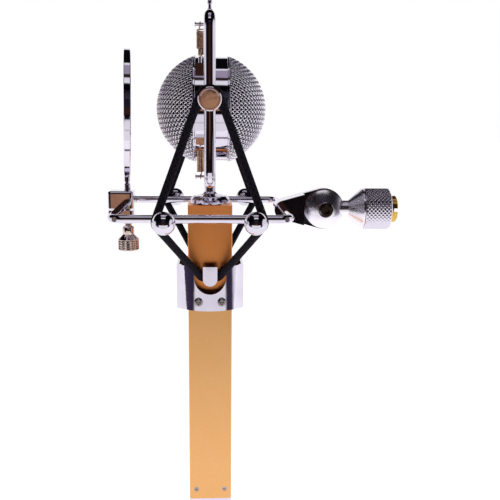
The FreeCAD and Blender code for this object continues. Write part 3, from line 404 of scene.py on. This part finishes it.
def tube_faces(count, sides, start=0, closed=False, capped=True):
    """Quads between the rings of a tube, with its two ends closed."""
    faces = []
    for ring in range(count if closed else count - 1):
        here = start + ring * sides
        there = start + (ring + 1) % count * sides
        for side in range(sides):
            after = (side + 1) % sides
            faces.append((here + side, here + after, there + after, there + side))
    if capped and not closed:
        last = start + (count - 1) * sides
        faces.append(tuple(range(start + sides - 1, start - 1, -1)))
        faces.append(tuple(range(last, last + sides)))
    return faces


def strands(name, paths, radius, sides, finish, body):
    """Many round wires in one piece; each path is (points, up directions)."""
    points, faces = [], []
    for path, up in paths:
        faces += tube_faces(len(path), sides, start=len(points))
        points += rings_along(path, up, radius, sides).reshape(-1, 3).tolist()
    return piece_from(name, points, faces, finish, body)


def close_up(mesh):
    """Merge points that fall together on the axis and make every face look outward."""
    work = bmesh.new()
    work.from_mesh(mesh)
    bmesh.ops.remove_doubles(work, verts=work.verts, dist=1e-7)
    bmesh.ops.recalc_face_normals(work, faces=work.faces)
    work.to_mesh(mesh)
    work.free()


def turned(name, foot, axis, profile, segments, finish, body, relief=None, sharp=35):
    """A piece turned about an axis from (along, radius) points in mm; relief is cut into its radius."""
    axis = Vector(axis).normalized()
    side = axis.orthogonal().normalized()
    other = axis.cross(side)
    points = []
    for along, radius in profile:
        for step in range(segments):
            angle = 2 * math.pi * step / segments
            out = radius - (relief(along, radius, angle) if relief else 0)
            spoke = side * math.cos(angle) + other * math.sin(angle)
            points.append(Vector(foot) + axis * along * MM + spoke * out * MM)
    faces = []
    count = len(profile)
    for ring in range(count):
        after_ring = (ring + 1) % count
        if profile[ring][1] < 1e-6 and profile[after_ring][1] < 1e-6:
            continue
        for step in range(segments):
            after = (step + 1) % segments
            faces.append((ring * segments + step, ring * segments + after,
                          after_ring * segments + after, after_ring * segments + step))
    made = piece_from(name, points, faces, finish, body)
    mesh = made.data
    close_up(mesh)
    mesh.set_sharp_from_angle(angle=math.radians(sharp))
    return made


# ---- woven grilles and screens ----

def woven_paths(reach, pitch, lift, bend):
    """Plain weave at 45 degrees over a disc; bend(u, v, height) gives the point and its outward direction."""
    paths = []
    count = int(reach / pitch)
    for family in (0, 1):
        for wire in range(-count, count + 1):
            offset = wire * pitch
            half = math.sqrt(max(reach ** 2 - offset ** 2, 0))
            if half < pitch:
                continue
            run = np.linspace(-half, half, max(int(2 * half / (pitch / 4)), 4))
            wave = lift * np.cos(math.pi * run / pitch) * (-1) ** (wire + family)
            flat = (run, np.full_like(run, offset)) if family == 0 else (np.full_like(run, offset), run)
            u = (flat[0] - flat[1]) * math.sqrt(0.5)
            v = (flat[0] + flat[1]) * math.sqrt(0.5)
            paths.append(bend(u, v, wave))
    return paths


def grille(side, sign):
    """Pressed dome of woven wire, laid over a sphere round the head's centre."""
    ball = GRILLE_RADIUS - WEAVE_WIRE - WEAVE_LIFT
    reach = ball * math.acos(BAND_HALF / ball)

    def over_ball(u, v, height):
        away = np.hypot(u, v)
        lean = away / ball
        share = np.where(away > 1e-9, np.sin(lean) / np.maximum(away, 1e-9), 1 / ball)
        out = np.stack([sign * np.cos(lean), u * share, v * share], axis=1)
        return np.array(HEAD) + out * (ball + height)[:, None], out

    made = strands("grille_weave_" + side, woven_paths(reach, WEAVE_PITCH, WEAVE_LIFT, over_ball),
                   WEAVE_WIRE, 6, "grille_wire", "head")
    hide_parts("grille_" + side)


def pop_screens():
    """Two woven screens stretched across the hoop."""
    hoop = middle("pop_hoop")
    reach = (high("pop_hoop").z - low("pop_hoop").z) / 2 - 1.7 * MM
    ahead = np.array([math.cos(HOOP_YAW), math.sin(HOOP_YAW), 0])
    up = np.array([0, 0, 1.0])
    axis = ahead * math.cos(HOOP_LEAN) - up * math.sin(HOOP_LEAN)
    upright = ahead * math.sin(HOOP_LEAN) + up * math.cos(HOOP_LEAN)
    across = np.cross(up, ahead)
    for side, sign in (("front", -1), ("back", 1)):
        def over_hoop(u, v, height):
            lifted = sign * SCREEN_GAP + height
            points = (np.array(hoop) + u[:, None] * across + lifted[:, None] * axis
                      + v[:, None] * upright)
            return points, np.broadcast_to(axis, points.shape)
        made = strands("pop_screen_" + side, woven_paths(reach, SCREEN_PITCH, SCREEN_LIFT, over_hoop),
                       SCREEN_WIRE, 4, "nickel", "pop_filter")
        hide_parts("pop_screens")


# ---- springs ----

def eased(start, start_way, end, end_way, count):
    """Smooth line from one point to another that leaves and arrives along the given ways."""
    share = np.linspace(0, 1, count + 2)[1:-1, None]
    return ((2 * share ** 3 - 3 * share ** 2 + 1) * start + (share ** 3 - 2 * share ** 2 + share) * start_way
            + (3 * share ** 2 - 2 * share ** 3) * end + (share ** 3 - share ** 2) * end_way)


def spring_path(x, y, coil_from, coil_to, hooks, open_turns):
    """Coil with an eye at each end; each hook is (height, radius) of the eye, open turns are at the top."""
    coil = SPRING_COIL - SPRING_WIRE
    closed = round((coil_to - coil_from - open_turns * SPRING_OPEN_PITCH) / SPRING_PITCH)
    turns = closed + open_turns
    parts = np.linspace(0, turns, turns * SPRING_STEPS + 1)
    rise = np.minimum(parts, closed) * SPRING_PITCH + np.maximum(parts - closed, 0) * SPRING_OPEN_PITCH
    angle = 2 * math.pi * parts + math.pi / 2
    wound = np.stack([x + coil * np.cos(angle), y + coil * np.sin(angle), coil_from + rise], axis=1)
    lines = []
    for (height, radius), sign, first in ((hooks[0], -1, wound[0]), (hooks[1], 1, wound[-1])):
        sweep = np.radians(np.linspace(-110, 180, 22))
        eye = np.stack([np.full_like(sweep, x), y - radius * np.cos(sweep),
                        height + sign * radius * np.sin(sweep)], axis=1)
        leaving, arriving = (0, 0, -3.0 * MM * sign), (3.5 * MM * sign, 0, -1.0 * MM * sign)
        link = eased(eye[-1], np.array(leaving), first, np.array(arriving), 9)
        lines.append(np.concatenate([eye, link]))
    path = np.concatenate([lines[0], wound, lines[1][::-1]])
    ups = np.stack([np.ones(len(path)), np.full(len(path), 0.05), np.full(len(path), 0.05)], axis=1)
    lead = len(lines[0])
    ups[lead:lead + len(wound)] = np.stack([np.cos(angle), np.sin(angle), np.zeros_like(angle)], axis=1)
    return path, ups


def springs():
    """Four coil springs; each stretches between its peg on the ring and its lug on the band."""
    peg_eye = PEG_RADIUS + SPRING_WIRE + 0.08 * MM
    for side in ("near", "far"):
        for level, open_turns in (("upper", 2), ("lower", 0)):
            name = "spring_%s_%s" % (level, side)
            spot = middle(name)
            start, end = low(name).z, high(name).z
            if level == "upper":
                coil = (start + 1.2 * MM, end - 0.5 * MM)
                hooks = ((start - 2.2 * MM, LUG_EYE), (high("spring_pegs").z - PEG_HEAD, peg_eye))
            else:
                coil = (start + 0.6 * MM, end - 2.2 * MM)
                hooks = ((low("spring_pegs").z + PEG_HEAD, peg_eye), (end + 0.1 * MM, LUG_EYE))
            path, up = spring_path(spot.x, spot.y, *coil, hooks, open_turns)
            made = strands("coil_%s_%s" % (level, side), [(path, up)], SPRING_WIRE, 8, "spring_wire", None)
            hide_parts(name)
            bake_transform(made)


# ---- elastic loops and lead ----

def rounded_route(corners, bends, step):
    """Closed line through straight runs and arcs; returns its points and the index of each arc's crown."""
    points, crowns = [], []
    count = len(corners)
    for index, corner in enumerate(corners):
        before = (corners[index - 1] - corner).normalized()
        after = (corners[(index + 1) % count] - corner).normalized()
        half = before.angle(after) / 2
        reach = bends[index] / math.tan(half)
        centre = corner + (before + after).normalized() * bends[index] / math.sin(half)
        first, last = corner + before * reach - centre, corner + after * reach - centre
        sweep = first.angle(last)
        pieces = max(int(sweep * bends[index] / step), 4) // 2 * 2
        if points:
            start = points[-1]
            run = (centre + first - start).length
            fill = int(run / step)
            points += [start.lerp(centre + first, n / fill) for n in range(1, fill)]
        crowns.append(len(points) + pieces // 2)
        for n in range(pieces + 1):
            share = n / pieces
            arm = (first * math.sin((1 - share) * sweep) + last * math.sin(share * sweep)) / math.sin(sweep)
            points.append(centre + arm)
    start, finish = points[-1], points[0]
    fill = int((finish - start).length / step)
    points += [start.lerp(finish, n / fill) for n in range(1, fill)]
    return points, crowns


def elastic_loops():
    """Each loop passes over its yoke pin, outside two pegs and behind the collar's tongue."""
    sides = 16
    for side, sign in (("near", -1), ("far", 1)):
        loop = "elastic_loop_" + side
        front, back = middle("ball_peg_%s_front" % side), middle("ball_peg_%s_back" % side)
        across = (back.x - front.x) / 2
        level = sign * 50.2 * MM
        rise = PIN_HEIGHT
        pin_bend, peg_bend = 5.25 * MM, 4.75 * MM
        lean = math.atan2(across, rise) - math.asin((pin_bend - peg_bend) / math.hypot(across, rise))
        apex = rise + pin_bend / math.sin(lean)
        peg_z = -1.7 * MM
        peg_x = (apex - peg_z) * math.tan(lean)
        tuck = Vector((5.0 * MM, sign * 14.95 * MM, low(loop).z + 1.8 * MM))
        route = [Vector((MIC.x, level, apex)), Vector((MIC.x + peg_x, level, peg_z)),
                 Vector((MIC.x + tuck.x, tuck.y, tuck.z)), Vector((MIC.x - tuck.x, tuck.y, tuck.z)),
                 Vector((MIC.x - peg_x, level, peg_z))]
        path, crowns = rounded_route(route, [pin_bend, peg_bend, 2.6 * MM, 2.6 * MM, peg_bend], 1.2 * MM)
        rings = rings_along(path, (0, 1, 0), CORD_RADIUS, sides, closed=True)
        count = len(path)
        lengths = np.concatenate([[0], np.cumsum(np.linalg.norm(np.diff(np.array(path), axis=0), axis=1))])
        right, left = crowns[1], crowns[4]
        halves = {"lower": list(range(right, left + 1)),
                  "upper": list(range(left, count)) + list(range(0, right + 1))}
        for half, chosen in halves.items():
            made = piece_from("elastic_%s_%s" % (half, side), rings[chosen].reshape(-1, 3),
                              tube_faces(len(chosen), sides, capped=False), "black_elastic")
            cord_uv(made, lengths[chosen], sides)
            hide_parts(loop)
            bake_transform(made)


def cord_uv(made, lengths, sides):
    """Unroll the cover: distance along the cord and round it, both in metres."""
    layer = made.data.uv_layers.new(name="cord")
    girth = 2 * math.pi * CORD_RADIUS
    for face in made.data.polygons:
        side = face.index % sides
        ring = face.index // sides
        corners = [(ring, side), (ring, side + 1), (ring + 1, side + 1), (ring + 1, side)]
        for index, (along, around) in zip(face.loop_indices, corners):
            layer.data[index].uv = (lengths[along], around / sides * girth)


def capsule_lead():
    """Thin lead from the post to the head, bowed so that it can flex."""
    foot, top = low("capsule_lead").z, high("capsule_lead").z
    gap_from, gap_to = low("head_ring").z + 2 * RING_TUBE, low("head_band").z
    heights = np.concatenate([np.linspace(foot, gap_from, 30, endpoint=False),
                              np.linspace(gap_from, gap_to, 24, endpoint=False),
                              np.linspace(gap_to, top, 6)])
    share = np.clip((heights - gap_from) / (gap_to - gap_from), 0, 1)
    bow = 1.1 * MM * np.sin(math.pi * share) ** 2
    path = np.stack([np.full_like(heights, MIC.x), bow, heights], axis=1)
    made = strands("lead_to_capsule", [(path, (1, 0, 0))], 0.7 * MM, 12, "lead_sleeve", None)
    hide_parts("capsule_lead")
    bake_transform(made)


# ---- knurled pieces ----

def diamond(along, around, pitch, depth):
    """Depth of a two-way diamond knurl at a point; both distances in mm."""
    first = abs(((along + around) / pitch) % 1 - 0.5) * 2
    second = abs(((along - around) / pitch) % 1 - 0.5) * 2
    return depth * max(first, second) ** 2


def stand_nut():
    """Nut with a cut diamond knurl between plain chamfered ends."""
    foot, rim = low("stand_nut"), high("stand_nut")
    length = (rim.x - foot.x) / MM
    radius = (rim.z - foot.z) / 2 / MM
    repeats = 34

    def relief(along, here, angle):
        if not 0.9 < along < length - 0.9 or here < radius - 0.2:
            return 0
        girth = 2 * math.pi * radius
        return diamond(along, angle / (2 * math.pi) * girth, girth / repeats, 0.42)

    knurl = [(0.95 + n * 0.2, radius) for n in range(int((length - 1.9) / 0.2) + 1)]
    bore = high("thread_insert").z / MM
    profile = ([(0, 5.1), (0, radius - 1.0), (0.5, radius - 0.3), (0.9, radius - 0.05)] + knurl
               + [(length - 0.9, radius - 0.05), (length - 0.5, radius - 0.3), (length, radius - 1.0),
                  (length, bore), (3.4, bore), (3.4, 5.1)])
    made = turned("stand_nut_knurled", (foot.x, 0, 0), (1, 0, 0), profile, 340, "bright_chrome", "stand_nut",
                  relief, sharp=50)
    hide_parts("stand_nut")


def thumbscrew():
    """Thumbscrew head with turned grooves between bands of straight knurl."""
    foot, rim = low("pop_thumbscrew"), high("pop_thumbscrew")
    radius = (rim.x - foot.x) / 2 / MM
    axis = middle("pop_thumbscrew")

    def relief(along, here, angle):
        if not 0.5 < along < 6.5:
            return 0
        groove = 0.45 if (along - 0.55) % 1.4 > 1.05 else 0
        return max(groove, 0.22 * abs(((angle / (2 * math.pi) * 48) % 1) - 0.5) * 2)

    band = [(0.6 + n * 0.1, radius) for n in range(60)]
    shank = -4.4 - foot.z / MM - 0.1
    profile = ([(0, 0), (0, radius - 0.6)] + band
               + [(6.65, radius - 0.1), (9.2, 3.45), (9.4, 3.3), (9.6, 3.45), (13.4, 3.45), (13.8, 3.2),
                  (14.4, 2.1),
                  (shank, 2.1), (shank, 1.5), ((rim.z - foot.z) / MM, 1.5), ((rim.z - foot.z) / MM, 0)])
    made = turned("thumbscrew_knurled", (axis.x, 0, foot.z), (0, 0, 1), profile, 192, "nickel",
                  "pop_thumbscrew", relief, sharp=40)
    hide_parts("pop_thumbscrew")


# ---- studio ----

# Each list is (angle over the microphone, colour): 0 is level towards -Y, 90 overhead, 180 level towards +Y.
OVERHEAD_STOPS = [
    (-180, "#ffffff"), (-30, "#ffffff"), (-29, "#3a3440"), (-28, "#ffffff"), (-12, "#ffffff"),
    (-10, "#0c090c"), (-3, "#120c0d"), (0, "#3a231d"), (10, "#33201b"),
    (13, "#241f2a"), (24, "#1b1822"), (26, "#3a3642"), (38, "#26232c"), (40, "#08070a"), (53, "#08070a"),
    (54.5, "#ffffff"), (63, "#ffffff"), (66, "#2d1f1c"), (71, "#2d1f1c"), (73, "#a79fb0"), (92, "#a79fb0"),
    (94, "#ffffff"), (97, "#ffffff"), (98.5, "#0a090c"), (147, "#0a090c"), (151, "#ffffff"), (180, "#ffffff"),
]
AWAY_STOPS = [
    (-180, "#ffffff"), (-12, "#ffffff"), (-10, "#0c090c"), (0, "#241815"), (13, "#17131a"), (40, "#08070a"),
    (147, "#0a090c"), (151, "#ffffff"), (180, "#ffffff"),
]
EDGE_STOPS = [
    (-180, "#ffffff"), (-44, "#ffffff"), (-37, "#4a4058"), (-14, "#2a2332"), (-8, "#120e14"),
    (40, "#08070a"), (147, "#0a090c"), (151, "#ffffff"), (180, "#ffffff"),
]
# Small warm patches, level towards -Y: (left reach, right reach, lowest angle, highest angle).
WARM_PATCHES = [(-0.05, 0.05, -3.5, 2.5), (-0.175, -0.095, -12.0, -4.5)]
SIDE_WALL = "#f7f5fb"
WARM_TONES = [(0.35, "#9a6a52"), (0.65, "#c79a72")]


def studio():
    """White tent with dark gaps: narrow lit panels overhead, white below, behind and at the sides."""
    world = bpy.data.worlds.new("studio")
    bpy.context.scene.world = world
    world.use_nodes = True
    tree = world.node_tree
    tree.nodes.clear()
    way = add(tree, "ShaderNodeTexCoord").outputs["Generated"]
    parts = add(tree, "ShaderNodeSeparateXYZ", {"Vector": way}).outputs
    forward = add(tree, "ShaderNodeMath", {0: parts["Y"], 1: -1.0}, operation="MULTIPLY").outputs["Value"]
    lift = add(tree, "ShaderNodeMath", {0: parts["Z"], 1: forward}, operation="ARCTAN2").outputs["Value"]
    share = add(tree, "ShaderNodeMapRange", {"Value": lift, "From Min": -math.pi, "From Max": math.pi})
    aside = add(tree, "ShaderNodeMath", {0: parts["X"]}, operation="ABSOLUTE").outputs["Value"]
    overhead, away, edge = [
        add(tree, "ShaderNodeValToRGB", {"Fac": share.outputs["Result"]},
            stops=[((angle + 180) / 360, colour) for angle, colour in stops]).outputs["Color"]
        for stops in (OVERHEAD_STOPS, AWAY_STOPS, EDGE_STOPS)]

    def beyond(reach, fade, value):
        """1 where the value is past this reach, 0 short of it."""
        ranged = add(tree, "ShaderNodeMapRange", {"Value": value, "From Min": reach, "From Max": reach + fade})
        return ranged.outputs["Result"]

    def layered(under, over, cover):
        """One picture of the surroundings laid over another where cover is 1."""
        mixed = add(tree, "ShaderNodeMix", {"Factor": cover, "A": under, "B": over}, data_type="RGBA")
        return mixed.outputs["Result"]

    tent = layered(overhead, away, beyond(0.28, 0.05, aside))
    tent = layered(tent, edge, beyond(0.62, 0.08, aside))
    tent = layered(tent, linear(SIDE_WALL), beyond(0.84, 0.06, parts["X"]))
    tent = layered(tent, linear(SIDE_WALL), beyond(-0.95, -0.035, parts["X"]))
    mottle = add(tree, "ShaderNodeTexNoise", {"Vector": way, "Scale": 60.0, "Detail": 3.0})
    warm = add(tree, "ShaderNodeValToRGB", {"Fac": mottle.outputs["Fac"]}, stops=WARM_TONES).outputs["Color"]
    for left, right, lowest, highest in WARM_PATCHES:
        edges = [beyond(left, 0.01, parts["X"]), beyond(right, -0.01, parts["X"]),
                 beyond(math.radians(lowest), math.radians(1), lift),
                 beyond(math.radians(highest), math.radians(-1), lift)]
        cover = edges[0]
        for other in edges[1:]:
            both = add(tree, "ShaderNodeMath", {0: cover, 1: other}, operation="MULTIPLY")
            cover = both.outputs["Value"]
        tent = layered(tent, warm, cover)
    seen = add(tree, "ShaderNodeLightPath").outputs["Is Camera Ray"]
    tent = layered(tent, (1, 1, 1, 1), seen)
    light = add(tree, "ShaderNodeBackground", {"Color": tent, "Strength": 1.0})
    add(tree, "ShaderNodeOutputWorld", {"Surface": light.outputs["Background"]})


def soft_light(name, place, aim, size, power):
    data = bpy.data.lights.new(name, "AREA")
    data.shape = "SQUARE"
    data.size = size
    data.energy = power
    lamp = bpy.data.objects.new(name, data)
    bpy.context.scene.collection.objects.link(lamp)
    lamp.location = place
    lamp.rotation_euler = (Vector(aim) - Vector(place)).to_track_quat("-Z", "Y").to_euler()
    lamp.visible_glossy = False
    lamp.visible_camera = False


def floor():
    """Plain white sweep well below the microphone."""
    made, tree, shader = surface("white_paper", Roughness=0.9, Emission_Color=linear("#ffffff"),
                                 Emission_Strength=0.85)
    fibre = add(tree, "ShaderNodeTexNoise", {"Vector": place_on(tree), "Scale": per_mm(4), "Detail": 4.0})
    tone = add(tree, "ShaderNodeValToRGB", {"Fac": fibre.outputs["Fac"]},
               stops=[(0.3, "#fbfbfb"), (0.7, "#ffffff")])
    tree.links.new(tone.outputs["Color"], shader.inputs["Base Color"])
    height = cad_box[0][2] - FLOOR_DROP
    mesh = bpy.data.meshes.new("floor")
    corners = [(-FLOOR_HALF, FLOOR_NEAR, height), (FLOOR_HALF, FLOOR_NEAR, height),
               (FLOOR_HALF, FLOOR_FAR, height), (-FLOOR_HALF, FLOOR_FAR, height)]
    mesh.from_pydata(corners, [], [(0, 1, 2, 3)])
    mesh.materials.append(made)
    sweep = bpy.data.objects.new("floor", mesh)
    bpy.context.scene.collection.objects.link(sweep)


def camera():
    ahead = Vector((math.sin(CAMERA_YAW) * math.cos(CAMERA_PITCH),
                    math.cos(CAMERA_YAW) * math.cos(CAMERA_PITCH), -math.sin(CAMERA_PITCH)))
    level = Vector((math.cos(CAMERA_YAW), -math.sin(CAMERA_YAW), 0))
    upright = level.cross(ahead)
    right = level * math.cos(CAMERA_ROLL) + upright * math.sin(CAMERA_ROLL)
    up = upright * math.cos(CAMERA_ROLL) - level * math.sin(CAMERA_ROLL)
    data = bpy.data.cameras.new("camera")
    data.lens = CAMERA_LENS
    data.sensor_width = 36
    data.clip_start = 0.01
    data.clip_end = 50
    seer = bpy.data.objects.new("camera", data)
    bpy.context.scene.collection.objects.link(seer)
    seer.matrix_world = Matrix((right, up, -ahead)).transposed().to_4x4()
    seer.location = CAMERA_PLACE
    bpy.context.scene.camera = seer
    bpy.context.scene.view_settings.view_transform = "Standard"


finish_cad_nodes()
for side, sign in (("front", -1), ("back", 1)):
    grille(side, sign)
pop_screens()
springs()
elastic_loops()
capsule_lead()
stand_nut()
thumbscrew()

studio()
soft_light("key", (-0.6, -0.9, 0.9), (-0.109, 0, 0), 0.9, 3)
soft_light("fill", (0.7, -0.7, 0.3), (-0.109, 0, 0), 0.9, 2)
floor()
camera()
